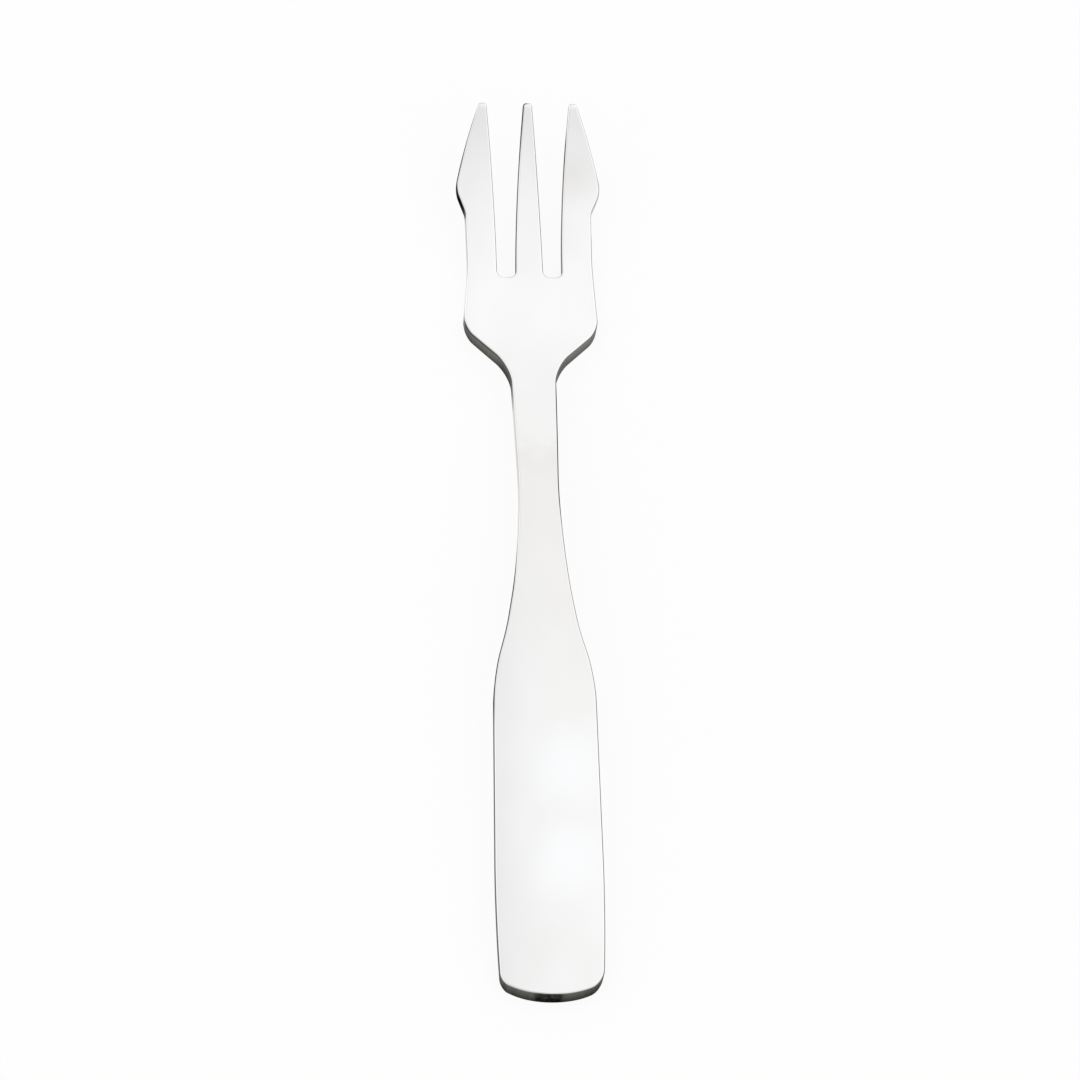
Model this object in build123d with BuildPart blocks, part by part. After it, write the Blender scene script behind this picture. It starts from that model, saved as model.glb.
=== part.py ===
"""Oyster fork, pressed from one strip of stainless steel that is blanked to its outline and slotted.

The fork lies face up on a table, resting on its handle end and on the heel behind the tines.
X runs across it, Y from the handle end to the tine tips, Z up. The origin is on the table,
below the middle of the fork.
"""

import math
import os

from build123d import *

# Steel strip, in millimetres: the rim of the face is rounded, the rim of the back only broken
thickness = 2.4
face_round = 0.35
back_break = 0.25

# Lengths along the fork, one after the other from the handle end to the tine tips
handle_length = 43.6
fall_length = 37.3
neck_length = 14.5
flare_length = 14.6
waist_length = 9.0
cheek_length = 6.9
barb_length = 4.0
blade_length = 12.5

# Handle
handle_width = 15.4
handle_widest_at = 14.0
handle_end_bulge = 1.9
handle_end_draw = 0.4
handle_front_draw = 0.35
handle_corner = 2.2

# Neck
neck_width = 5.8
neck_growth = 0.24
fall_lead = 8.9
neck_lead = 25.2

# Head
head_width = 19.7
waist_draw = 0.6
flare_lead = 9.3
shoulder_lead = 6.8
waist_lead = 3.5

# Tines
barb_reach = 1.6
barb_round = 2.0
notch_round = 1.0
blade_belly = 0.25
tip_spread = 14.5
outer_tip_width = 1.15
centre_tip_width = 1.4
centre_root_width = 4.06
slot_width = 2.76
slot_depth = 26.4
slot_root_flat = 0.76
centre_tine_belly = 0.2
outer_tine_belly = 0.3
tip_flat = 0.15

# Side view: straight handle, arched neck, then one hollow arc from the head to the tips
straight_past_handle = 17.0
arch_past_neck = 1.4
arch_turn = 16.2
heel_radius = 74.5
tine_thinning = 4.4

# Stations along the fork
handle_front = handle_length
neck_back = handle_front + fall_length
neck_front = neck_back + neck_length
shoulder = neck_front + flare_length
waist = shoulder + waist_length
notch = waist + cheek_length
barb = notch + barb_length
tip = barb + blade_length
slot_root = tip - slot_depth

# Half widths
handle_half = handle_width / 2
neck_half = neck_width / 2
head_half = head_width / 2
waist_half = head_half - waist_draw
barb_half = waist_half + barb_reach
tip_half = tip_spread / 2
centre_root_half = centre_root_width / 2

# Corners of the outline on the right side
end_corner = (handle_half - handle_end_draw, handle_end_bulge)
widest = (handle_half, handle_widest_at)
handle_shoulder = (handle_half - handle_front_draw, handle_front)
notch_corner = (waist_half, notch)
barb_corner = (barb_half, barb)
outer_tip = (tip_half, tip)
inner_tip = (tip_half - outer_tip_width, tip)
centre_tip = (centre_tip_width / 2, tip)
centre_root = (centre_root_half, slot_root)
outer_root = (centre_root_half + slot_width, slot_root)
slot_corner = (slot_width - slot_root_flat) / 2
tip_corner = (min(outer_tip_width, centre_tip_width) - tip_flat) / 2

# Side view sizes: the back of the arch runs inside its face, the back of the tines outside theirs
arch_start = handle_front + straight_past_handle
arch_end = neck_front + arch_past_neck
arch_sine = math.sin(math.radians(arch_turn))
arch_cosine = math.cos(math.radians(arch_turn))
arch_radius = (arch_end - arch_start) / arch_sine
arch_back_radius = arch_radius - thickness
heel_back_radius = heel_radius + thickness - tine_thinning

# The table touches the broken edge of the handle end and the round of the heel
heel_along = arch_start + (arch_back_radius + heel_back_radius) * arch_sine - back_break
heel_above = (arch_back_radius + heel_back_radius) * arch_cosine - arch_back_radius
table_bearing = math.asin(heel_back_radius / math.hypot(heel_along, heel_above))
handle_tilt = table_bearing - math.atan2(heel_above, heel_along)
tilt_sine = math.sin(handle_tilt)
tilt_cosine = math.cos(handle_tilt)
end_height = -back_break * tilt_sine

# The hollow arc goes on past the tips, where the outline cuts it off
dive = math.radians(arch_turn) - handle_tilt
tip_slope = math.asin((tip - arch_end) / heel_radius - math.sin(dive))
overrun = 5.0
heel_turn = math.degrees(dive + tip_slope) + overrun


def corners(sketch, *points):
    """The corners of an outline at these points and at their mirror images across the fork."""
    return sketch.vertices().filter_by(
        lambda corner: any(math.dist((abs(corner.X), corner.Y), point) < 1e-4 for point in points)
    )


def rim(part, side):
    """The edges where the upright walls meet the face, for side 1, or the back, for side -1."""
    walls = part.faces().filter_by(lambda wall: abs(wall.normal_at().Z) < 1e-3)
    broad_edges = part.faces().filter_by(lambda broad: side * broad.normal_at().Z > 0.5).edges()
    return walls.edges().filter_by(lambda edge: edge in broad_edges)


plan_plane = Plane(origin=(0, -tip / 2, 0))
side_plane = Plane(
    origin=(0, -tip / 2, end_height),
    x_dir=(0, tilt_cosine, tilt_sine),
    z_dir=(1, 0, 0),
)

with BuildPart() as fork:
    # Strip of steel, bent as seen from the side
    with BuildSketch(side_plane):
        with BuildLine():
            back = Line((-thickness, 0), (arch_start, 0))
            back_arch = JernArc(back @ 1, back % 1, arch_back_radius, -arch_turn)
            back_heel = JernArc(back_arch @ 1, back_arch % 1, heel_back_radius, heel_turn)
            face = Line((-thickness, thickness), (arch_start, thickness))
            face_arch = JernArc(face @ 1, face % 1, arch_radius, -arch_turn)
            face_heel = JernArc(face_arch @ 1, face_arch % 1, heel_radius, heel_turn)
            Line(back @ 0, face @ 0)
            Line(back_heel @ 1, face_heel @ 1)
        make_face()
    extrude(amount=max(handle_half, head_half, barb_half), both=True)

    # Outline seen from above, with its corners rounded
    with BuildSketch(plan_plane) as plan:
        with BuildLine():
            TangentArc(widest, end_corner, tangent=(0, -1))
            front_side = TangentArc(widest, handle_shoulder, tangent=(0, 1))
            fall = Bezier(
                front_side @ 1,
                front_side @ 1 + (front_side % 1) * fall_lead,
                (neck_half, neck_back - neck_lead),
                (neck_half, neck_back),
            )
            neck = TangentArc(fall @ 1, (neck_half + neck_growth, neck_front), tangent=(0, 1))
            flare = Bezier(
                neck @ 1,
                neck @ 1 + (neck % 1) * flare_lead,
                (head_half, shoulder - shoulder_lead),
                (head_half, shoulder),
            )
            hollow = Bezier(
                flare @ 1,
                (head_half, shoulder + waist_lead),
                (waist_half, waist - waist_lead),
                (waist_half, waist),
            )
            cheek = Polyline(hollow @ 1, notch_corner, barb_corner)
            SagittaArc(cheek @ 1, outer_tip, blade_belly)
            mirror(about=Plane.YZ)
            Line((-tip_half, tip), outer_tip)
            ThreePointArc((-end_corner[0], end_corner[1]), (0, 0), end_corner)
        make_face()

        # The slot right of the middle tine, and its mirror image
        with BuildLine():
            centre_edge = SagittaArc(centre_tip, centre_root, -centre_tine_belly)
            root = Line(centre_edge @ 1, outer_root)
            outer_edge = SagittaArc(root @ 1, inner_tip, -outer_tine_belly)
            Line(outer_edge @ 1, centre_edge @ 0)
        slot = make_face(mode=Mode.SUBTRACT)
        mirror(slot, about=Plane.YZ, mode=Mode.SUBTRACT)

        fillet(corners(plan, end_corner), handle_corner)
        fillet(corners(plan, notch_corner), notch_round)
        fillet(corners(plan, barb_corner), barb_round)
        fillet(corners(plan, centre_root, outer_root), slot_corner)
        fillet(corners(plan, centre_tip, inner_tip, outer_tip), tip_corner)
    extrude(amount=heel_radius, both=True, mode=Mode.INTERSECT)

    fillet(rim(fork, 1), face_round)
    chamfer(rim(fork, -1), back_break)

os.makedirs("parts", exist_ok=True)
fork.part.label = "fork"
export_step(fork.part, "parts/fork.step")
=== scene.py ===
"""Oyster fork in polished stainless steel, lying face up on a pale table.

The fork is made the way its maker makes it: a flat blank is cut out, its rims are rounded, and
the blank is pressed to shape. Sizes are kept in metres and worked in millimetres, from the
handle end (y = 0) to the tips.
"""

import math
from collections import namedtuple
from types import SimpleNamespace

import bmesh
import bpy
from bpy.props import FloatProperty, FloatVectorProperty, PointerProperty
from mathutils import Matrix, Vector


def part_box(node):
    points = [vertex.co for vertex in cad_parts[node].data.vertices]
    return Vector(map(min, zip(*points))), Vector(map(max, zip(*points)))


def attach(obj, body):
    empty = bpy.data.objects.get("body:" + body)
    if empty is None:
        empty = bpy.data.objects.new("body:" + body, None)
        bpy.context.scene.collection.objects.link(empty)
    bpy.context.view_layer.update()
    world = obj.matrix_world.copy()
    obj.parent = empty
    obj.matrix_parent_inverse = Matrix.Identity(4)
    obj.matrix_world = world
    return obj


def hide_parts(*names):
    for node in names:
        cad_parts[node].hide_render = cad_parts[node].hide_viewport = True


bl_info = {
    "name": "Oyster Fork",
    "version": (1, 0, 0),
    "blender": (4, 5, 0),
    "location": "View3D > Sidebar > Oyster Fork",
    "description": "Presses an oyster fork from a flat steel blank and lays it on a pale table",
    "category": "Add Mesh",
}

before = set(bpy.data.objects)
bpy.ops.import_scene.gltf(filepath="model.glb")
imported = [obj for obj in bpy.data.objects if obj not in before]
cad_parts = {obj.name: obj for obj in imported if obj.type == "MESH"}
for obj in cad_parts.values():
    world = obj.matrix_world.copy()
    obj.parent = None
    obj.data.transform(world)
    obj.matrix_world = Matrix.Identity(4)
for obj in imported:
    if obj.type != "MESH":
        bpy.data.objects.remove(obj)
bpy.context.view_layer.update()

MILLIMETRE = 0.001
SENSOR_WIDTH = 36.0

# In millimetres: width of the strips that the blank is ruled into, and how near to a corner a
# line takes the corner itself
STRIP = 1.0
SNAP = 1e-4

# Patterns on the steel: stretch along X, Y and Z, scale and detail
WAVES = ((1.0, 0.6, 1.0), 110.0, 1.0)
POLISHING_LINES = ((1.0, 0.015, 1.0), 7000.0, 3.0)
CLOUDS = ((1.0, 0.7, 1.0), 75.0, 2.0)
BLOTCHES = ((1.0, 1.0, 1.0), 1600.0, 1.0)
SHEAR_MARKS = ((1.0, 1.0, 0.04), 3500.0, 2.0)
RAGGED_ENDS = ((1.0, 1.0, 1.0), 260.0, 2.0)

# Noise stays near its middle, between these values
NOISE_LOW = 0.3
NOISE_HIGH = 0.7

# Grey of the studio dome: over the fork, from past the tips to behind the handle
DOME_OVER = (
    (0.0, 0.4), (0.1, 0.85), (0.18, 0.97), (0.28, 1.0), (0.37, 0.99), (0.44, 0.97), (0.49, 0.93),
    (0.58, 0.82), (0.64, 0.8), (0.72, 1.0), (0.85, 1.0), (0.93, 0.6), (1.0, 0.3),
)

# Grey of the studio dome: beside the fork, from its left to its right
DOME_BESIDE = (
    (0.0, 0.3), (0.02, 0.5), (0.08, 1.0), (0.2, 1.0), (0.34, 0.74), (0.49, 0.68), (0.505, 0.725),
    (0.52, 0.785), (0.545, 0.82), (0.66, 0.84), (0.8, 1.0), (0.9, 0.8), (0.96, 0.3), (1.0, 0.1),
)


def length(label, millimetres, about):
    """A length that is shown in scene units and written here in millimetres."""
    return FloatProperty(
        name=label,
        description=about,
        default=millimetres * MILLIMETRE,
        precision=5,
        unit="LENGTH",
        subtype="DISTANCE",
    )


def angle(label, degrees, about):
    """An angle that is written here in degrees."""
    return FloatProperty(
        name=label,
        description=about,
        default=math.radians(degrees),
        unit="ROTATION",
        subtype="ANGLE",
    )


def share(label, default, about):
    """A plain number from 0 to 1."""
    return FloatProperty(
        name=label, description=about, default=default, min=0.0, max=1.0, subtype="FACTOR"
    )


def colour(label, default, about):
    """A linear colour."""
    return FloatVectorProperty(
        name=label, description=about, default=default, size=3, min=0.0, max=1.0, subtype="COLOR"
    )


class BlankSizes(bpy.types.PropertyGroup):
    """Outline of the flat blank. A lead is how far from its corner a rounding starts, both ways."""

    thickness: length("Thickness", 2.4, "Thickness of the steel strip")
    face_round: length("Face round", 0.28, "Radius of the rim round the face")
    back_round: length("Back round", 0.18, "Radius of the rim round the back")
    rim_margin: length("Rim margin", 0.05, "Flat margin that keeps the rim's curve out of the face")
    edge_draw: length(
        "Edge draw", 0.05, "How far the back is drawn in from the face, as shearing leaves it"
    )
    end_draft: length(
        "End draft", 0.44, "How much further out the back stands at the handle end"
    )
    shoulder_draft: length(
        "Shoulder draft", 0.3, "How much further out the back stands past the left shoulder"
    )
    shoulder_draft_at: length(
        "Shoulder draft at", 110.4, "Where the back stands out most past the left shoulder"
    )

    end_bulge: length("End bulge", 1.9, "How far the handle end stands out past its corners")
    end_point: length("End point", 1.42, "How far past the handle end its two tangents meet")
    end_lead: length("End lead", 6.05, "Lead of the curved handle end")
    end_half: length("End half width", 7.26, "Half width of the handle at its end corners")
    end_corner_lead: length("End corner lead", 1.3, "Lead of the left corner of the handle end")
    worn_corner_lead: length("Worn corner lead", 1.85, "Lead of the right corner of the handle end")
    side_at: length("Side at", 12.54, "Where the handle is widest")
    side_half: length("Side half width", 7.74, "Half width to the corner of the two handle sides")
    side_lead: length("Side lead", 7.36, "Lead of the bulge of the handle side")

    fall_top_at: length("Fall top at", 48.06, "Where the handle starts to fall away")
    fall_top_half: length(
        "Fall top half width", 7.27, "Half width where the handle starts to fall away"
    )
    fall_top_lead: length("Fall top lead", 3.87, "Lead of the handle's shoulder")
    fall_at: length("Fall at", 55.66, "Where the fall is steepest")
    fall_half: length("Fall half width", 5.1, "Half width in the middle of the fall")
    fall_lead: length("Fall lead", 1.92, "Lead in the middle of the fall")
    left_fall_out: length(
        "Left fall out", 0.12, "How much further out the fall stands on the left"
    )
    neck_at: length("Neck at", 70.23, "Where the fall runs out into the neck")
    neck_half: length("Neck half width", 2.72, "Half width where the fall runs out into the neck")
    neck_lead: length("Neck lead", 10.03, "Lead of the run-out into the neck")

    flare_at: length("Flare at", 100.17, "Where the neck flares into the head")
    flare_half: length("Flare half width", 3.33, "Half width where the neck flares")
    flare_lead: length("Flare lead", 2.93, "Lead of the flare")
    shoulder_at: length("Shoulder at", 106.96, "Where the head's shoulders are")
    shoulder_half: length(
        "Shoulder half width", 9.91, "Half width to the corner of the shoulders"
    )
    shoulder_lead: length("Shoulder lead", 2.01, "Lead of the shoulders")
    left_shoulder_out: length(
        "Left shoulder out", 0.1, "How much further out the left shoulder stands"
    )
    shoulder_skew: length(
        "Shoulder skew", 0.2, "How far the left shoulder is ahead, and the right one behind"
    )
    waist_at: length("Waist at", 117.84, "Where the head is drawn in most")
    waist_half: length("Waist half width", 9.21, "Half width at the waist")
    waist_shift: length("Waist shift", 0.09, "How far the waist lies to the right")
    waist_lead: length("Waist lead", 1.39, "Lead of the waist")

    notch_at: length("Notch at", 126.19, "Where the notch behind the barb is")
    notch_half: length("Notch half width", 9.34, "Half width at the notch")
    notch_lead: length("Notch lead", 0.51, "Lead of the notch")
    barb_at: length("Barb at", 129.88, "Where the barb stands out most")
    barb_half: length("Barb half width", 10.8, "Half width to the corner of the barb")
    barb_lead: length("Barb lead", 1.2, "Lead of the barb")
    right_barb_back: length(
        "Right barb back", 0.42, "How much nearer the handle the right barb stands"
    )
    blade_at: length(
        "Blade at", 135.41, "Where the cutting edge in front of the barb bulges most"
    )
    blade_half: length("Blade half width", 9.67, "Half width to the corner of the cutting edge")
    blade_lead: length("Blade lead", 4.3, "Lead of the cutting edge's bulge")

    tips_at: length("Tips at", 142.31, "Where the face ends at the tine tips")
    outer_tip_half: length(
        "Outer tip half width", 7.25, "Half width to the outer side of the outer tips"
    )
    outer_tip_width: length("Outer tip width", 1.12, "Width of an outer tine at its tip")
    outer_tip_lead: length("Outer tip lead", 0.35, "Lead of the outer corner of an outer tip")
    inner_tip_lead: length("Inner tip lead", 0.38, "Lead of the other corners of the tips")
    centre_tip_half: length(
        "Centre tip half width", 0.64, "Half width of the middle tine at its tip"
    )
    slot_root_at: length("Slot root at", 115.94, "Where the slots between the tines end")
    slot_root_half: length(
        "Slot root half width", 2.03, "Half width of the middle tine at its root"
    )
    slot_width: length("Slot width", 2.76, "Width of a slot at its root")
    slot_lead: length("Slot lead", 1.0, "Lead of the corners of a slot root")
    tine_at: length("Tine at", 129.0, "Where the sides of the tines bulge most")
    centre_tine_half: length(
        "Centre tine half width", 1.765, "Half width to the middle tine's side corner"
    )
    outer_tine_half: length(
        "Outer tine half width", 4.865, "Half width to an outer tine's inner side corner"
    )
    tine_lead: length("Tine lead", 10.0, "Lead of the sides of the tines")


class PaintedEdgeLight(bpy.types.PropertyGroup):
    """Painted light on the sheared edges, place by place: painted highlights, painted shade, and a
    painted dark line under the face.
    """

    polished_rim: share(
        "Polished rim", 0.5, "Share of the rims' depth that the polishing reaches"
    )
    # Painted shade and painted dark lines keep the polished colour further off the rim.
    shaded_rim: share(
        "Rough rim", 0.4, "Share of the polished rim that is lost where the edge is rough"
    )
    shade_line_rim: share(
        "Burr rim", 0.65, "Share of the polished rim that is lost where there is a burr"
    )
    short_fade: length("Short fade", 1.5, "Length over which a finish runs out quickly")
    fade: length("Fade", 3.0, "Length over which one finish runs out into the next")
    long_fade: length("Long fade", 6.0, "Length over which a finish runs out slowly")
    shoulder_fade: length(
        "Shoulder fade", 15.0, "Length over which the finish of the right shoulder runs out"
    )

    # Painted highlights: each stretch of edge is painted brighter where it mirrors bright light.
    highlight_neck: share("Buffed neck", 0.7, "How bright the left edge of the neck is")
    highlight_left_shoulder: share(
        "Buffed left shoulder", 0.04, "How bright the edge of the left shoulder is"
    )
    highlight_right_shoulder: share(
        "Buffed right shoulder", 0.12, "How bright the edge of the right shoulder is"
    )
    highlight_patch: share(
        "Buffed patch", 0.85, "How bright the left edge of the head is next to the shoulder"
    )
    highlight_left_side: share("Buffed left side", 0.6, "How bright the left edge of the head is")
    highlight_right_side: share("Buffed right side", 0.35, "How bright the right edge of the head is")
    highlight_cheek: share(
        "Buffed cheek", 0.8, "How bright the right edge of the head is behind the notch"
    )
    highlight_barb: share("Buffed barb", 0.55, "How bright the edge below the right barb is")
    highlight_blade: share("Buffed blade", 0.8, "How bright the edge in front of the right barb is")
    highlight_roots: share("Buffed roots", 0.6, "How bright the ends of the slots are")
    highlight_left_tine: share(
        "Buffed left tine", 0.95, "How bright the edge of the left tine is in its slot"
    )
    highlight_middle_tine: share(
        "Buffed middle tine", 0.6, "How bright the right edge of the middle tine is"
    )
    highlight_right_tine: share(
        "Buffed right tine", 0.15, "How bright the edge of the right tine is next to its root"
    )
    highlight_tips: share("Buffed tips", 0.65, "How bright the edges at the tips are")

    # Painted shade: each stretch of edge is painted darker where it mirrors dark surroundings; the
    # middle of the handle end holds a painted reflection of the camera.
    shaded_end: share("Rough end", 0.15, "How rough the handle end is")
    shaded_middle: share("Rough middle", 0.68, "How rough the middle of the handle end is")
    shaded_middle_at: length(
        "Rough middle at", -0.5, "How far right of the middle the rough middle of the end lies"
    )
    shaded_middle_half: length(
        "Rough middle half width", 1.6, "Half width of the rough middle of the handle end"
    )
    shaded_middle_fade: length(
        "Rough middle fade", 0.8, "Length over which the rough middle runs out"
    )
    shaded_barb: share("Rough barb", 1.0, "How rough the edge below the left barb is")
    shaded_middle_tine: share(
        "Rough middle tine", 0.5, "How rough the left edge of the middle tine is at its tip"
    )
    shaded_right_tine: share(
        "Rough right tine", 0.45, "How rough the left edge of the right tine is past its middle"
    )

    # Painted dark lines just under the face, where the rounded rim mirrors the dark horizon.
    shade_line_fall: share(
        "Burr fall", 0.9, "How dark the burr is on the left where the handle falls away"
    )
    shade_line_neck: share("Burr neck", 0.95, "How dark the burr is on the right of the neck")
    shade_line_shoulder: share("Burr shoulder", 0.8, "How dark the burr is on the left shoulder")
    shade_line_blade: share("Burr blade", 0.9, "How dark the burr is in front of the left barb")
    shade_line_middle_tine: share(
        "Burr middle tine", 0.9, "How dark the burr is on the left of the middle tine's tip"
    )


class PressSizes(bpy.types.PropertyGroup):
    """Side view of the pressed fork: straight handle, arched neck, hollow head and tines."""

    handle_tilt: angle("Handle tilt", 3.997, "Rise of the handle from its end to the neck")
    arch_start: length("Arch start", 60.6, "Length of the straight handle, up to the arch")
    arch_end: length("Arch end", 96.8, "Where the arch turns into the hollow of the head")
    arch_turn: angle("Arch turn", 16.2, "How far the arch turns down")
    heel_radius: length("Heel radius", 74.5, "Radius of the hollow from the head to the tips")
    blend: length("Blend", 4.0, "Half length over which one bend runs into the next")
    tip_thinning: share(
        "Tip thinning", 0.34, "Share of the thickness that is lost at the tine tips"
    )
    handle_crown: length(
        "Handle crown", 0.12, "How much the middle of the handle stands above its sides"
    )
    crown_end: length("Crown end", 100.0, "Where the crown of the handle has run out")
    tip_roll: length("Tip roll", 0.8, "Length over which the tips are rolled over")
    tip_drop: length("Tip drop", 0.15, "How far the face drops at the rolled tips")


class SteelLook(bpy.types.PropertyGroup):
    """Finish of the steel: mirror polish on face and back with painted highlight spots, and sheared
    edges whose darker colour is partly their own and partly painted shade.
    """

    polish: colour("Polish", (0.935, 0.936, 0.94), "Colour of the polished steel")
    dull: colour("Dull", (0.892, 0.888, 0.884), "Colour of the steel where the polish is cloudy")
    clear: colour("Clear", (0.949, 0.956, 0.966), "Colour of the clear spots of the polish")
    polish_roughness: share("Polish roughness", 0.1, "Roughness of the polished steel")
    line_smoothness: share(
        "Line smoothness", 0.7, "Share of the roughness that is left between polishing lines"
    )
    cloud_roughness: share(
        "Cloud roughness", 0.4, "Share of the roughness that cloudy polish adds"
    )
    line_strength: share("Line strength", 0.15, "How clearly the polishing lines show")
    line_depth: length("Line depth", 0.001, "Depth of the polishing lines")
    wave_height: length("Wave height", 0.045, "Height of the slow waves that polishing leaves")

    # Painted highlights: two brighter, bluish spots on the handle, where its mirror shows bright
    # reflections.
    spot_across: length(
        "Spot across", 2.6, "How far right of the middle the clear spots of the handle are"
    )
    upper_spot_at: length("Upper spot at", -36.6, "Where the clear spot nearer the neck is")
    lower_spot_at: length("Lower spot at", -51.0, "Where the clear spot nearer the end is")
    spot_height: length("Spot height", 4.6, "Height of the clear spots above the table")
    spot_radius: length("Spot radius", 9.5, "Radius over which a clear spot fades out")

    # A darker, warmer tint along the neck and on the right tine.
    haze: colour("Haze", (0.926, 0.918, 0.908), "Tint that fine scratches give the steel")
    neck_haze_from: length("Neck haze from", -45.0, "Where the haze of the neck starts")
    neck_haze_full: length("Neck haze full", 12.0, "Where the haze of the neck is strongest")
    neck_haze_to: length("Neck haze to", 17.0, "Where the haze of the neck ends")
    neck_haze_shift: length(
        "Neck haze shift", 1.5, "How far the ends of the haze wander to either side"
    )
    tine_haze_across: length(
        "Tine haze across", 6.2, "How far right of the middle the haze of the right tine is"
    )
    tine_haze_at: length("Tine haze at", 61.0, "Where the haze of the right tine is")
    tine_haze_height: length(
        "Tine haze height", 5.0, "Height of the haze of the right tine above the table"
    )
    tine_haze_radius: length(
        "Tine haze radius", 6.5, "Radius over which the haze of the right tine fades out"
    )

    # The sheared edge is darker partly by its own colour and partly by painted shade: darker
    # towards the back, where the wall mirrors the table's shadow next to the fork, and near black
    # under painted shade and painted dark lines.
    burnished_shade: colour(
        "Burnished", (0.19, 0.19, 0.176), "Colour of the sheared edge next to the face"
    )
    broken_shade: colour("Broken", (0.06, 0.06, 0.054), "Colour of the sheared edge next to the back")
    rough: colour("Rough", (0.006, 0.006, 0.006), "Colour of rough edges and burrs")
    shear_wander: share(
        "Shear wander", 0.15, "How far the two zones of the sheared edge reach into each other"
    )
    blotchiness: share("Blotchiness", 0.2, "How much the roughness of the edges varies")
    shade_line_reach: share(
        "Burr reach", 0.24, "Share of the thickness over which the burr under the face runs out"
    )
    sheared_roughness: share("Sheared roughness", 0.38, "Roughness of the sheared edges")
    edge_sheen: share(
        "Edge sheen", 0.4, "How bright the sheared edges turn where they are seen at a low angle"
    )


class StageLook(bpy.types.PropertyGroup):
    """Table, light and camera."""

    floor: colour("Floor", (0.92, 0.92, 0.915), "Colour of the table")
    floor_roughness: share("Floor roughness", 0.9, "Roughness of the table")
    floor_lift: share(
        "Floor lift", 0.9, "How far the table is lifted towards white where it is seen"
    )
    floor_size: length("Floor size", 6000.0, "Side of the square table")
    light: FloatProperty(
        name="Light", description="Brightness of the studio light", default=1.275, min=0.0
    )
    azimuth: angle("Azimuth", 8.975, "How far the camera stands to the left of the handle end")
    elevation: angle("Elevation", 61.0, "How far the camera looks down")
    roll: angle("Roll", 8.366, "Turn of the camera about its own line of sight")
    distance: length("Distance", 900.0, "From the camera to the point that it looks at")
    focal_length: FloatProperty(
        name="Focal length",
        description="Lens on a 36 mm sensor",
        default=209.11,
        min=1.0,
        unit="CAMERA",
    )
    aim: FloatVectorProperty(
        name="Aim",
        description="Point that the camera looks at",
        default=(0.038 * MILLIMETRE, -0.654 * MILLIMETRE, 4.95 * MILLIMETRE),
        subtype="TRANSLATION",
        unit="LENGTH",
    )


SETTINGS = {
    "oyster_fork_blank": BlankSizes,
    "oyster_fork_edges": PaintedEdgeLight,
    "oyster_fork_press": PressSizes,
    "oyster_fork_steel": SteelLook,
    "oyster_fork_stage": StageLook,
}

# Painted light on a sheared edge, each from 0 to 1: how bright its painted highlight is, how dark
# its painted shade is, and how dark the painted line under its face is
EdgeMark = namedtuple("EdgeMark", ("buffed", "rough", "burr"), defaults=(0.0, 0.0, 0.0))


def setting_names(group):
    """Names of the values that a property group holds."""
    return [name for name in group.bl_rna.properties.keys() if name not in ("rna_type", "name")]


def in_millimetres(group):
    """The values of a property group, with its lengths in millimetres."""
    values = {}
    for name in setting_names(group):
        value = getattr(group, name)
        is_length = group.bl_rna.properties[name].unit == "LENGTH"
        values[name] = value / MILLIMETRE if is_length else value
    return SimpleNamespace(**values)


def smooth_step(value):
    """Runs from 0 to 1 without a corner at either end."""
    held = min(max(value, 0.0), 1.0)
    return held * held * (3.0 - 2.0 * held)


def stretch(along, start, end, fade):
    """1 from one place along the fork to another, running out to 0 on either side."""
    return smooth_step((along - start) / fade + 1.0) * smooth_step((end - along) / fade + 1.0)


def half_outline(blank, side):
    """Corners of one half of the blank, from handle end to middle tine, as (x, y, lead)."""
    left = side < 0.0
    end_corner_lead = blank.end_corner_lead if left else blank.worn_corner_lead
    fall_half = blank.fall_half + blank.left_fall_out * left
    shoulder_half = blank.shoulder_half + blank.left_shoulder_out * left
    shoulder_at = blank.shoulder_at - blank.shoulder_skew * side
    barb_at = blank.barb_at - blank.right_barb_back * (not left)
    corners = [
        (blank.end_half, blank.end_bulge, end_corner_lead),
        (blank.side_half, blank.side_at, blank.side_lead),
        (blank.fall_top_half, blank.fall_top_at, blank.fall_top_lead),
        (fall_half, blank.fall_at, blank.fall_lead),
        (blank.neck_half, blank.neck_at, blank.neck_lead),
        (blank.flare_half, blank.flare_at, blank.flare_lead),
        (shoulder_half, shoulder_at, blank.shoulder_lead),
        (blank.waist_half + blank.waist_shift * side, blank.waist_at, blank.waist_lead),
        (blank.notch_half, blank.notch_at, blank.notch_lead),
        (blank.barb_half, barb_at, blank.barb_lead),
        (blank.blade_half, blank.blade_at, blank.blade_lead),
        (blank.outer_tip_half, blank.tips_at, blank.outer_tip_lead),
        (blank.outer_tip_half - blank.outer_tip_width, blank.tips_at, blank.inner_tip_lead),
        (blank.outer_tine_half, blank.tine_at, blank.tine_lead),
        (blank.slot_root_half + blank.slot_width, blank.slot_root_at, blank.slot_lead),
        (blank.slot_root_half, blank.slot_root_at, blank.slot_lead),
        (blank.centre_tine_half, blank.tine_at, blank.tine_lead),
        (blank.centre_tip_half, blank.tips_at, blank.inner_tip_lead),
    ]
    return [(side * x, y, lead) for x, y, lead in corners]


def round_off(blank_mesh, corners_or_edges, affect, lead, steps):
    """Rounds corners of the outline (VERTICES) or edges of a rim (EDGES)."""
    bmesh.ops.bevel(
        blank_mesh,
        geom=corners_or_edges,
        offset=lead,
        offset_type="OFFSET",
        segments=steps,
        profile=0.5,
        affect=affect,
        material=-1,
        clamp_overlap=False,
    )


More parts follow.
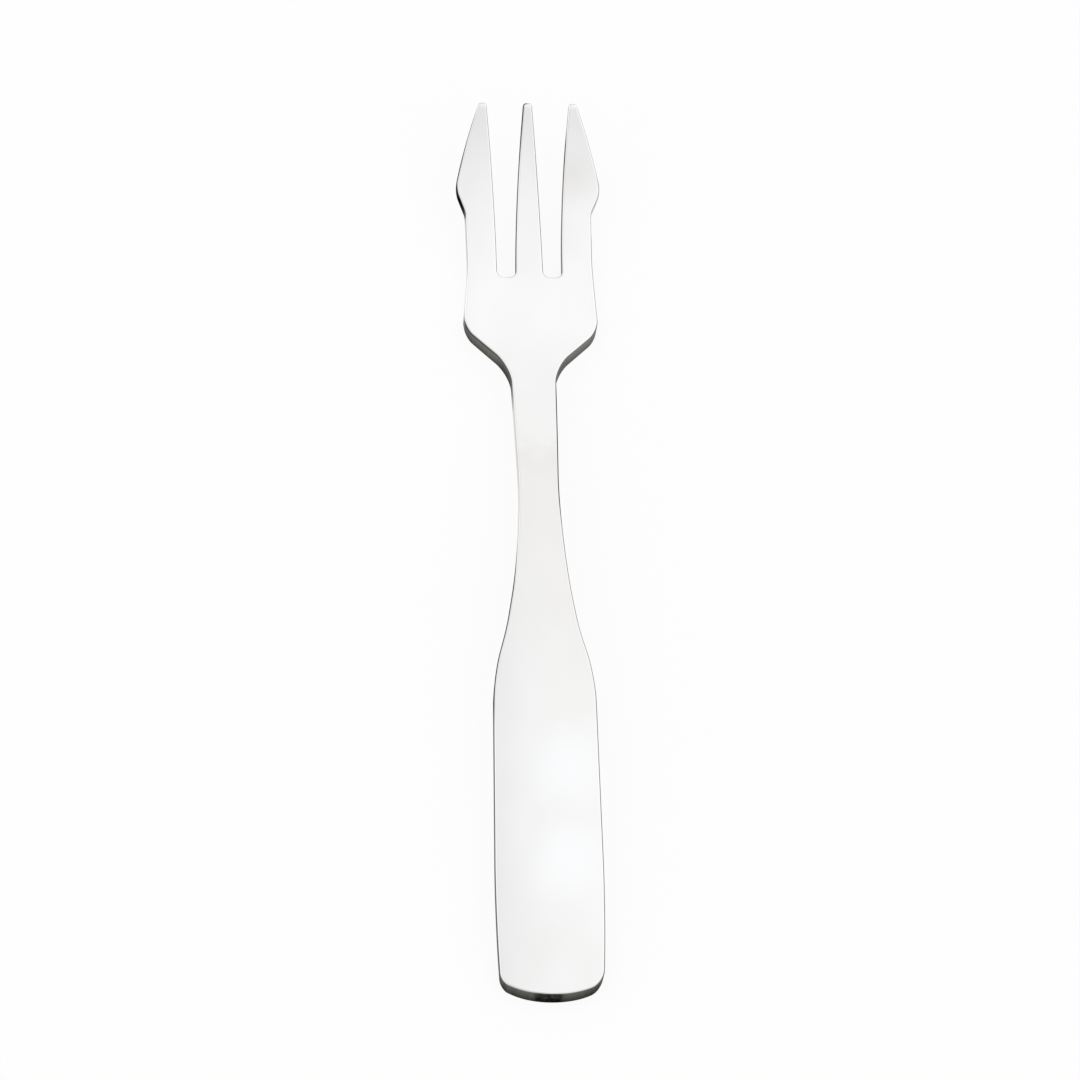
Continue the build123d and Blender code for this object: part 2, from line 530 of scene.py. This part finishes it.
def draw_outline(blank_mesh, blank):
    """Draws the blank as one flat face and rounds the corners of its outline."""
    corner_steps = 14
    end_steps = 24
    handle_end = blank_mesh.verts.new((0.0, -blank.end_point, 0.0))
    outline = [*half_outline(blank, 1.0), *reversed(half_outline(blank, -1.0))]
    corners = [blank_mesh.verts.new((x, y, 0.0)) for x, y, lead in outline]
    blank_mesh.faces.new([handle_end, *corners])
    for corner, (x, y, lead) in zip(corners, outline):
        round_off(blank_mesh, [corner], "VERTICES", lead, corner_steps)
    round_off(blank_mesh, [handle_end], "VERTICES", blank.end_lead, end_steps)


def back_draft(place, outward, blank):
    """How much further out the back stands at a place on the outline."""
    facing_back = max(-outward.y, 0.0) if place.y < blank.end_lead else 0.0
    draft_at = blank.shoulder_draft_at
    past_shoulder = stretch(place.y, draft_at, draft_at, blank.shoulder_lead) * (place.x < 0.0)
    return blank.end_draft * facing_back**2 + blank.shoulder_draft * past_shoulder


def pull_to_thickness(blank_mesh, blank):
    """Pulls the flat face to the thickness of the strip and sets the slope of its walls."""
    wall_lean = 0.5
    pulled = bmesh.ops.extrude_face_region(blank_mesh, geom=blank_mesh.faces[:])["geom"]
    back_corners = [part for part in pulled if isinstance(part, bmesh.types.BMVert)]
    bmesh.ops.translate(blank_mesh, verts=back_corners, vec=(0.0, 0.0, -blank.thickness))
    bmesh.ops.recalc_face_normals(blank_mesh, faces=blank_mesh.faces[:])
    for corner in back_corners:
        walls = [face.normal for face in corner.link_faces if abs(face.normal.z) < wall_lean]
        outward = sum(walls, Vector()).normalized()
        corner.co += outward * (back_draft(corner.co, outward, blank) - blank.edge_draw)


def broad_faces(blank_mesh):
    """The face and the back of the flat blank, which are its two largest faces."""
    largest = sorted(blank_mesh.faces, key=lambda face: face.calc_area())[-2:]
    return sorted(largest, key=lambda face: -face.normal.z)


def round_rims(blank_mesh, blank):
    """Rounds the rims of face and back, and leaves a narrow margin round both."""
    rim_steps = 6
    for index, radius in enumerate((blank.face_round, blank.back_round)):
        rim = broad_faces(blank_mesh)[index].edges[:]
        round_off(blank_mesh, rim, "EDGES", radius, rim_steps)
    bmesh.ops.inset_region(
        blank_mesh,
        faces=broad_faces(blank_mesh),
        thickness=blank.rim_margin,
        use_even_offset=True,
        use_boundary=True,
    )


def rule_line(blank_mesh, geom, place, direction):
    """Rules one line through these parts of the blank, square to a direction."""
    bmesh.ops.bisect_plane(blank_mesh, geom=geom, dist=SNAP, plane_co=place, plane_no=direction)


def rule_across(blank_mesh, blank, press):
    """Rules the blank into strips, so that it can follow the bends and the rolled tips."""
    first = 4.0
    roll_steps = 6
    last = blank.tips_at - press.tip_roll
    stations = [first + step * STRIP for step in range(math.floor((last - first) / STRIP))]
    stations += [last + step * press.tip_roll / roll_steps for step in range(roll_steps)]
    for station in stations:
        if abs(station - blank.slot_root_at) > STRIP / 2:
            everything = blank_mesh.verts[:] + blank_mesh.edges[:] + blank_mesh.faces[:]
            rule_line(blank_mesh, everything, (0.0, station, 0.0), (0.0, 1.0, 0.0))


def rule_lengthwise(blank_mesh, blank, press):
    """Rules the face of handle and neck lengthwise too, for the crown."""
    level = 0.9999
    reach = math.floor(blank.end_half)
    for line in range(-reach, reach + 1):
        crowned = [
            face
            for face in blank_mesh.faces
            if face.normal.z > level and face.calc_center_median().y < press.crown_end
        ]
        edges = {edge for face in crowned for edge in face.edges}
        corners = {corner for face in crowned for corner in face.verts}
        geom = [*corners, *edges, *crowned]
        rule_line(blank_mesh, geom, (line * STRIP, 0.0, 0.0), (1.0, 0.0, 0.0))


def slot_painted_light(across, along, blank, edge_light):
    """Painted highlights, shade and dark lines on the edges between the tines."""
    fade = edge_light.fade
    root_at, tips_at = blank.slot_root_at, blank.tips_at
    middle_tine = abs(across) < blank.slot_root_half + blank.slot_width / 2.0
    faces_left = (across < 0.0) == middle_tine
    root = stretch(along, root_at, root_at, blank.slot_lead) * edge_light.highlight_roots
    tip = stretch(along, tips_at - fade, tips_at, fade) * edge_light.highlight_tips
    if not faces_left:
        side = edge_light.highlight_middle_tine if middle_tine else edge_light.highlight_left_tine
        return EdgeMark(buffed=max(root, side, tip))
    if middle_tine:
        outer = stretch(along, tips_at - fade, tips_at, fade + edge_light.long_fade)
        return EdgeMark(root, outer * edge_light.shaded_middle_tine, outer * edge_light.shade_line_middle_tine)
    inner = stretch(along, root_at, blank.tine_at, edge_light.long_fade)
    buffed = max(root, inner * edge_light.highlight_right_tine, tip)
    return EdgeMark(buffed, rough=(1.0 - inner) * edge_light.shaded_right_tine)


def left_painted_light(along, blank, edge_light):
    """Painted highlights, shade and dark lines on the left edge of the fork, from the handle to the
    tip.
    """
    short_fade, fade, long_fade = edge_light.short_fade, edge_light.fade, edge_light.long_fade
    fall = stretch(along, blank.fall_top_at - fade, blank.fall_at + long_fade, long_fade)
    neck = stretch(along, blank.neck_at, blank.flare_at - fade - long_fade, long_fade)
    shoulder = stretch(along, blank.flare_at + fade, blank.shoulder_at, fade)
    patch = stretch(along, blank.shoulder_draft_at, blank.slot_root_at - short_fade, fade)
    side = stretch(along, blank.slot_root_at, blank.notch_at - short_fade, short_fade)
    barb_back = blank.notch_at + blank.barb_lead
    barb = stretch(along, barb_back, blank.barb_at + blank.notch_lead, blank.barb_lead)
    blade = stretch(along, blank.barb_at, blank.tips_at - fade - long_fade, long_fade)
    tip = stretch(along, blank.tips_at, blank.tips_at, fade)
    buffed = max(
        neck * edge_light.highlight_neck,
        shoulder * edge_light.highlight_left_shoulder,
        patch * edge_light.highlight_patch,
        side * edge_light.highlight_left_side,
        tip * edge_light.highlight_tips,
    )
    burr = max(
        fall * edge_light.shade_line_fall, shoulder * edge_light.shade_line_shoulder, blade * edge_light.shade_line_blade
    )
    return EdgeMark(buffed, barb * edge_light.shaded_barb, burr)


def right_painted_light(along, blank, edge_light):
    """Painted highlights and a painted dark line on the right edge of the fork, from the handle to
    the tip.
    """
    short_fade, fade, long_fade = edge_light.short_fade, edge_light.fade, edge_light.long_fade
    neck = stretch(along, blank.neck_at + long_fade, blank.flare_at - long_fade, long_fade)
    shoulder = stretch(along, blank.shoulder_at, blank.shoulder_at, edge_light.shoulder_fade)
    side = stretch(along, blank.shoulder_at + fade, blank.notch_at - fade, fade)
    cheek = stretch(along, blank.notch_at - fade, blank.notch_at, short_fade)
    barb_back = blank.notch_at + blank.notch_lead
    barb = stretch(along, barb_back, blank.barb_at, blank.barb_lead)
    blade = stretch(along, blank.barb_at + fade, blank.tips_at, fade)
    tip = stretch(along, blank.tips_at - long_fade, blank.tips_at, fade)
    buffed = max(
        shoulder * edge_light.highlight_right_shoulder,
        side * edge_light.highlight_right_side,
        cheek * edge_light.highlight_cheek,
        barb * edge_light.highlight_barb,
        blade * edge_light.highlight_blade,
        tip * edge_light.highlight_tips,
    )
    return EdgeMark(buffed, burr=neck * edge_light.shade_line_neck)


def end_painted_light(across, edge_light):
    """Painted shade on the handle end, darkest near its middle, which holds a painted reflection of
    the camera.
    """
    off_middle = abs(across - edge_light.shaded_middle_at)
    middle = stretch(off_middle, 0.0, edge_light.shaded_middle_half, edge_light.shaded_middle_fade)
    return EdgeMark(rough=max(edge_light.shaded_end, middle * edge_light.shaded_middle))


def edge_painted_light(across, along, blank, edge_light):
    """Painted light on the sheared edge at a place on the outline."""
    if along < blank.end_bulge:
        return end_painted_light(across, edge_light)
    outer_tine = blank.outer_tip_half - blank.outer_tip_width
    if along > blank.slot_root_at - blank.slot_lead and abs(across) < outer_tine:
        return slot_painted_light(across, along, blank, edge_light)
    if across < 0.0:
        return left_painted_light(along, blank, edge_light)
    return right_painted_light(along, blank, edge_light)


def mark_edges(blank_mesh, blank, edge_light):
    """Marks each corner from 0 to 1: on the darker sheared edge, below the face, under painted
    shade, under a painted dark line.
    """
    edge_mark, depth_mark, shaded_mark, shade_line_mark = (
        blank_mesh.verts.layers.float.new(name) for name in ("edge", "depth", "rough", "burr")
    )
    for corner in blank_mesh.verts:
        across, along, height = corner.co
        buffed, rough, burr = edge_painted_light(across, along, blank, edge_light)
        # Painted shade and painted dark lines keep the polished colour further off the rim.
        lost = max(edge_light.shaded_rim * rough, edge_light.shade_line_rim * burr)
        polished = edge_light.polished_rim * (1.0 - lost)
        below_face = -height / (blank.face_round * polished)
        above_back = (height + blank.thickness) / (blank.back_round * edge_light.polished_rim)
        # Where the darker edge colour goes: less where a painted highlight is.
        corner[edge_mark] = smooth_step(min(below_face, above_back)) * (1.0 - buffed)
        corner[depth_mark] = -height / blank.thickness
        corner[shaded_mark] = rough
        corner[shade_line_mark] = burr


def bent_height(station, press, thickness):
    """Height of the face at a station along the fork: a line and two arcs, all tangent."""
    tilt = press.handle_tilt
    dive = press.arch_turn - tilt
    arch_radius = (press.arch_end - press.arch_start) / math.sin(press.arch_turn)
    arch_along = press.arch_start * math.cos(tilt) - thickness * math.sin(tilt)
    arch_height = press.arch_start * math.sin(tilt) + thickness * math.cos(tilt)
    arch_centre_along = arch_along + arch_radius * math.sin(tilt)
    arch_centre_height = arch_height - arch_radius * math.cos(tilt)
    both_radii = arch_radius + press.heel_radius
    heel_centre_along = arch_centre_along + both_radii * math.sin(dive)
    heel_centre_height = arch_centre_height + both_radii * math.cos(dive)
    turnover = arch_centre_along + arch_radius * math.sin(dive)
    if station < arch_along:
        return arch_height + (station - arch_along) * math.tan(tilt)
    if station < turnover:
        return arch_centre_height + math.sqrt(arch_radius**2 - (station - arch_centre_along) ** 2)
    return heel_centre_height - math.sqrt(
        press.heel_radius**2 - (station - heel_centre_along) ** 2
    )


def face_height(station, press, thickness):
    """Height of the face with each bend blended into the next."""
    samples = 8
    spread = [press.blend * step / samples for step in range(-samples, samples + 1)]
    return sum(bent_height(station + shift, press, thickness) for shift in spread) / len(spread)


def press_blank(blank_mesh, blank, press):
    """Bends the flat blank along its side view, thins and rolls the tines, crowns the handle."""
    nudge = 0.05
    tine_length = blank.tips_at - blank.notch_at
    crown_run = press.crown_end - blank.fall_top_at
    for corner in blank_mesh.verts:
        across, along, depth = corner.co
        before, height, after = (
            face_height(along + shift, press, blank.thickness) for shift in (-nudge, 0.0, nudge)
        )
        upright = Vector((0.0, before - after, 2.0 * nudge)).normalized()
        thinned = smooth_step((along - blank.notch_at) / tine_length)
        crown = press.handle_crown * (across / blank.end_half) ** 2
        crown *= 1.0 - smooth_step((along - blank.fall_top_at) / crown_run)
        rolled = max(along - blank.tips_at + press.tip_roll, 0.0) / press.tip_roll
        near_face = 1.0 + depth / blank.thickness
        depth *= 1.0 - thinned * press.tip_thinning
        depth -= (crown + press.tip_drop * rolled**2) * near_face
        corner.co = Vector((across, along, height)) + upright * depth


def lay_down(blank_mesh):
    """Turns millimetres into metres and lays the fork where the CAD fork lies, on the table."""
    low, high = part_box("fork")
    bmesh.ops.scale(blank_mesh, vec=(MILLIMETRE,) * 3, verts=blank_mesh.verts[:])
    back = min(corner.co.y for corner in blank_mesh.verts)
    bottom = min(corner.co.z for corner in blank_mesh.verts)
    shift = (0.0, low.y - back, low.z - bottom)
    bmesh.ops.translate(blank_mesh, vec=shift, verts=blank_mesh.verts[:])


def opaque(tint):
    """A colour with full alpha."""
    return (*tint, 1.0)


def feed(tree, socket, value):
    """Links a node's output to a socket, or sets the socket to a value."""
    if isinstance(value, bpy.types.NodeSocket):
        tree.links.new(value, socket)
    else:
        socket.default_value = value


def add_node(tree, kind, **sockets):
    """Adds a shader node and feeds the sockets that are named."""
    node = tree.nodes.new(kind)
    for name, value in sockets.items():
        feed(tree, node.inputs[name.replace("_", " ")], value)
    return node


def add_math(tree, operation, first, second):
    """Adds a math node with two inputs and gives its result."""
    node = tree.nodes.new("ShaderNodeMath")
    node.operation = operation
    for socket, value in zip(node.inputs, (first, second)):
        feed(tree, socket, value)
    return node.outputs["Value"]


def add_mix(tree, factor, first, second, blend="MIX"):
    """Adds a colour mix and gives its result."""
    node = tree.nodes.new("ShaderNodeMix")
    node.data_type = "RGBA"
    node.blend_type = blend
    colours = [socket for socket in node.inputs if socket.type == "RGBA"]
    for socket, value in zip((node.inputs["Factor"], *colours), (factor, first, second)):
        feed(tree, socket, value)
    return next(socket for socket in node.outputs if socket.type == "RGBA")


def add_noise(tree, place, spread, scale, detail):
    """Adds noise on object coordinates that are stretched along the axes."""
    mapped = add_node(tree, "ShaderNodeMapping", Vector=place, Scale=spread).outputs["Vector"]
    noise = add_node(tree, "ShaderNodeTexNoise", Vector=mapped, Scale=scale, Detail=detail)
    return noise.outputs["Fac"]


def add_attribute(tree, name):
    """Adds a mark that the mesh carries."""
    node = tree.nodes.new("ShaderNodeAttribute")
    node.attribute_name = name
    return node.outputs["Fac"]


def add_range(tree, noise, low, high):
    """Spreads noise over a range of values."""
    limits = {"From_Min": NOISE_LOW, "From_Max": NOISE_HIGH, "To_Min": low, "To_Max": high}
    return add_node(tree, "ShaderNodeMapRange", Value=noise, **limits).outputs["Result"]


def add_fade(tree, value, low, high):
    """Fades from 0 to 1 between two values, without a corner at either end."""
    node = add_node(tree, "ShaderNodeMapRange", Value=value, From_Min=low, From_Max=high)
    node.interpolation_type = "SMOOTHSTEP"
    return node.outputs["Result"]


def add_spot(tree, place, centre, radius):
    """Fades from 1 at a centre to 0 at a radius round it."""
    node = tree.nodes.new("ShaderNodeVectorMath")
    node.operation = "DISTANCE"
    for socket, value in zip(node.inputs, (place, centre)):
        feed(tree, socket, value)
    return add_fade(tree, node.outputs["Value"], radius, 0.0)


def add_ramp(tree, factor, stops):
    """Adds a ramp with these grey stops and gives its colour."""
    node = add_node(tree, "ShaderNodeValToRGB", Fac=factor)
    ramp = node.color_ramp
    while len(ramp.elements) > 1:
        ramp.elements.remove(ramp.elements[-1])
    (position, grey), *others = stops
    ramp.elements[0].position = position
    ramp.elements[0].color = opaque((grey,) * 3)
    for position, grey in others:
        ramp.elements.new(position).color = opaque((grey,) * 3)
    return node.outputs["Color"]


def tinted_places(tree, place, look):
    """Where the face takes a darker, warmer tint: along the neck, and on the right tine."""
    along = add_node(tree, "ShaderNodeSeparateXYZ", Vector=place).outputs["Y"]
    ragged = add_noise(tree, place, *RAGGED_ENDS)
    ragged = add_range(tree, ragged, -look.neck_haze_shift, look.neck_haze_shift)
    along = add_math(tree, "ADD", along, ragged)
    rising = add_fade(tree, along, look.neck_haze_from, look.neck_haze_full)
    falling = add_fade(tree, along, look.neck_haze_to, look.neck_haze_full)
    neck = add_math(tree, "MULTIPLY", rising, falling)
    tine_haze = (look.tine_haze_across, look.tine_haze_at, look.tine_haze_height)
    tine = add_spot(tree, place, tine_haze, look.tine_haze_radius)
    return add_math(tree, "MAXIMUM", neck, tine)


def face_colour(tree, place, clouds, look):
    """Colour of the polished face, with its cloudy places, its painted highlight spots, and its
    darker tinted places.
    """
    cloudy = add_range(tree, clouds, 0.0, 1.0)
    polish = add_mix(tree, cloudy, opaque(look.polish), opaque(look.dull))
    # Painted highlights: brighter, bluish spots on the handle.
    for at in (look.upper_spot_at, look.lower_spot_at):
        centre = (look.spot_across, at, look.spot_height)
        spot = add_spot(tree, place, centre, look.spot_radius)
        polish = add_mix(tree, spot, polish, opaque(look.clear))
    tinted = add_mix(tree, 1.0, polish, opaque(look.haze), "MULTIPLY")
    return add_mix(tree, tinted_places(tree, place, look), polish, tinted)


def edge_colours(tree, place, look):
    """Colour of the sheared edge, partly its own and partly painted shade, and its tint at a low
    angle.
    """
    depth = add_attribute(tree, "depth")
    wander = add_noise(tree, place, *SHEAR_MARKS)
    wander = add_range(tree, wander, -look.shear_wander, look.shear_wander)
    zone = add_math(tree, "ADD", depth, wander)
    # Painted shade: the edge turns darker towards the back.
    sheared = add_mix(tree, zone, opaque(look.burnished_shade), opaque(look.broken_shade))
    # Painted shade, blotchy along the edge, and painted dark lines under the face turn the edge and
    # its tint near black.
    blotches = add_noise(tree, place, *BLOTCHES)
    blotches = add_range(tree, blotches, 1.0 - look.blotchiness, 1.0 + look.blotchiness)
    rough = add_math(tree, "MULTIPLY", add_attribute(tree, "rough"), blotches)
    under_face = add_fade(tree, depth, look.shade_line_reach, 0.0)
    burr = add_math(tree, "MULTIPLY", add_attribute(tree, "burr"), under_face)
    dark = add_math(tree, "MAXIMUM", rough, burr)
    sheen = opaque((look.edge_sheen,) * 3)
    return [add_mix(tree, dark, light, opaque(look.rough)) for light in (sheared, sheen)]


def polished_steel(look):
    """Mirror polish with slow waves, faint polishing lines and haze, darker tinted places and
    painted highlight spots, and sheared edges darkened partly by their own colour and partly by
    painted shade.
    """
    white = (1.0, 1.0, 1.0)
    material = bpy.data.materials.new("polished_steel")
    material.use_nodes = True
    tree = material.node_tree
    shader = tree.nodes["Principled BSDF"].inputs
    shader["Metallic"].default_value = 1.0

    place = add_node(tree, "ShaderNodeTexCoord").outputs["Object"]
    edge = add_attribute(tree, "edge")
    clouds = add_noise(tree, place, *CLOUDS)
    polishing_lines = add_noise(tree, place, *POLISHING_LINES)

    face = face_colour(tree, place, clouds, look)
    sheared, sheen = edge_colours(tree, place, look)
    # The sheared edges take their darker colour, partly their own and partly painted shade.
    feed(tree, shader["Base Color"], add_mix(tree, edge, face, sheared))
    feed(tree, shader["Specular Tint"], add_mix(tree, edge, opaque(white), sheen))

    roughness = look.polish_roughness
    fine = add_range(tree, polishing_lines, roughness * look.line_smoothness, roughness)
    cloudy = add_range(tree, clouds, 0.0, roughness * look.cloud_roughness)
    polished = add_math(tree, "ADD", fine, cloudy)
    sheared_roughness = add_math(tree, "MULTIPLY", edge, look.sheared_roughness)
    feed(tree, shader["Roughness"], add_math(tree, "MAXIMUM", polished, sheared_roughness))

    waves = add_noise(tree, place, *WAVES)
    slow = add_node(tree, "ShaderNodeBump", Height=waves, Distance=look.wave_height)
    lined = add_node(
        tree,
        "ShaderNodeBump",
        Height=polishing_lines,
        Strength=look.line_strength,
        Distance=look.line_depth,
        Normal=slow.outputs["Normal"],
    )
    feed(tree, shader["Normal"], lined.outputs["Normal"])
    return material


def pale_table(look):
    """Matt white of the table, lifted towards white where it is seen, with a faint shadow left."""
    material = bpy.data.materials.new("pale_table")
    material.use_nodes = True
    tree = material.node_tree
    matt = tree.nodes["Principled BSDF"]
    matt.inputs["Base Color"].default_value = opaque(look.floor)
    matt.inputs["Roughness"].default_value = look.floor_roughness
    matt.inputs["Specular IOR Level"].default_value = 0.0
    white = add_node(tree, "ShaderNodeEmission", Strength=1.0)
    path = tree.nodes.new("ShaderNodeLightPath").outputs
    mirrored = add_math(tree, "MAXIMUM", path["Is Glossy Ray"], path["Is Transmission Ray"])
    seen = add_math(tree, "MAXIMUM", path["Is Camera Ray"], mirrored)
    lift = add_math(tree, "MULTIPLY", seen, look.floor_lift)
    lifted = tree.nodes.new("ShaderNodeMixShader")
    surfaces = (lift, matt.outputs["BSDF"], white.outputs["Emission"])
    for socket, value in zip(lifted.inputs, surfaces):
        feed(tree, socket, value)
    feed(tree, tree.nodes["Material Output"].inputs["Surface"], lifted.outputs["Shader"])
    return material


def studio_dome(look):
    """Soft light all round: white panels over and beside the table, dimmer near the horizon."""
    world = bpy.data.worlds.new("studio_dome")
    world.use_nodes = True
    tree = world.node_tree
    background = tree.nodes["Background"].inputs
    background["Strength"].default_value = look.light
    direction = add_node(tree, "ShaderNodeTexCoord").outputs["Generated"]
    axes = add_node(tree, "ShaderNodeSeparateXYZ", Vector=direction).outputs
    turn = add_math(tree, "DIVIDE", add_math(tree, "ARCTAN2", axes["Z"], axes["Y"]), math.pi)
    sideways = add_math(tree, "MULTIPLY", add_math(tree, "ADD", axes["X"], 1.0), 0.5)
    over = add_ramp(tree, turn, DOME_OVER)
    beside = add_ramp(tree, sideways, DOME_BESIDE)
    feed(tree, background["Color"], add_mix(tree, 1.0, over, beside, "MULTIPLY"))
    return world


def add_object(scene, name, shape, material):
    """Makes an object of a finished shape and puts it in the scene."""
    mesh = bpy.data.meshes.new(name)
    shape.to_mesh(mesh)
    shape.free()
    mesh.materials.append(material)
    thing = bpy.data.objects.new(name, mesh)
    scene.collection.objects.link(thing)
    return thing


def set_camera(scene, look):
    """Sets up the camera and aims it."""
    level_towards = Vector((-math.sin(look.azimuth), -math.cos(look.azimuth), 0.0))
    towards = level_towards * math.cos(look.elevation)
    towards.z = math.sin(look.elevation)
    level_right = Vector((math.cos(look.azimuth), -math.sin(look.azimuth), 0.0))
    right = Matrix.Rotation(look.roll, 3, towards) @ level_right
    up = towards.cross(right)
    turn = Matrix((right, up, towards)).transposed().to_4x4()
    place = Matrix.Translation(Vector(look.aim) + towards * look.distance)
    lens = bpy.data.cameras.new("camera")
    lens.sensor_width = SENSOR_WIDTH
    lens.lens = look.focal_length
    lens.clip_end = look.floor_size
    camera = bpy.data.objects.new("camera", lens)
    camera.matrix_world = place @ turn
    scene.collection.objects.link(camera)
    scene.camera = camera


class OYSTERFORK_OT_press(bpy.types.Operator):
    """Press the fork from its flat blank and polish it"""

    bl_idname = "oyster_fork.press"
    bl_label = "Press Fork"
    bl_options = {"REGISTER", "UNDO"}

    def execute(self, context):
        scene = context.scene
        blank = in_millimetres(scene.oyster_fork_blank)
        press = in_millimetres(scene.oyster_fork_press)
        # Painted highlights, painted shade and painted dark lines on the edges.
        edge_light = in_millimetres(scene.oyster_fork_edges)
        blank_mesh = bmesh.new()
        draw_outline(blank_mesh, blank)
        pull_to_thickness(blank_mesh, blank)
        round_rims(blank_mesh, blank)
        rule_across(blank_mesh, blank, press)
        rule_lengthwise(blank_mesh, blank, press)
        mark_edges(blank_mesh, blank, edge_light)
        press_blank(blank_mesh, blank, press)
        lay_down(blank_mesh)
        bmesh.ops.recalc_face_normals(blank_mesh, faces=blank_mesh.faces[:])
        steel = polished_steel(scene.oyster_fork_steel)
        fork = add_object(scene, "pressed_fork", blank_mesh, steel)
        fork.data.shade_smooth()
        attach(fork, "root")
        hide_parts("fork")
        return {"FINISHED"}


class OYSTERFORK_OT_stage(bpy.types.Operator):
    """Set the table, the light and the camera"""

    bl_idname = "oyster_fork.stage"
    bl_label = "Set Stage"
    bl_options = {"REGISTER", "UNDO"}

    def execute(self, context):
        scene = context.scene
        look = scene.oyster_fork_stage
        scene.view_settings.view_transform = "Standard"
        scene.world = studio_dome(look)
        table = bmesh.new()
        bmesh.ops.create_grid(table, x_segments=1, y_segments=1, size=look.floor_size / 2)
        floor = add_object(scene, "table", table, pale_table(look))
        set_camera(scene, look)
        return {"FINISHED"}


class OYSTERFORK_PT_build(bpy.types.Panel):
    """Sizes, finish and stage of the oyster fork"""

    bl_label = "Oyster Fork"
    bl_idname = "OYSTERFORK_PT_build"
    bl_space_type = "VIEW_3D"
    bl_region_type = "UI"
    bl_category = "Oyster Fork"

    def draw(self, context):
        layout = self.layout
        for operator in (OYSTERFORK_OT_press, OYSTERFORK_OT_stage):
            layout.operator(operator.bl_idname)
        for settings in SETTINGS:
            group = getattr(context.scene, settings)
            box = layout.box()
            for name in setting_names(group):
                box.prop(group, name)


CLASSES = (*SETTINGS.values(), OYSTERFORK_OT_press, OYSTERFORK_OT_stage, OYSTERFORK_PT_build)


def register():
    for cls in CLASSES:
        bpy.utils.register_class(cls)
    for name, group in SETTINGS.items():
        setattr(bpy.types.Scene, name, PointerProperty(type=group))


def unregister():
    for name in SETTINGS:
        delattr(bpy.types.Scene, name)
    for cls in reversed(CLASSES):
        bpy.utils.unregister_class(cls)


def main():
    register()
    bpy.ops.oyster_fork.press()
    bpy.ops.oyster_fork.stage()


if __name__ == "__main__":
    main()
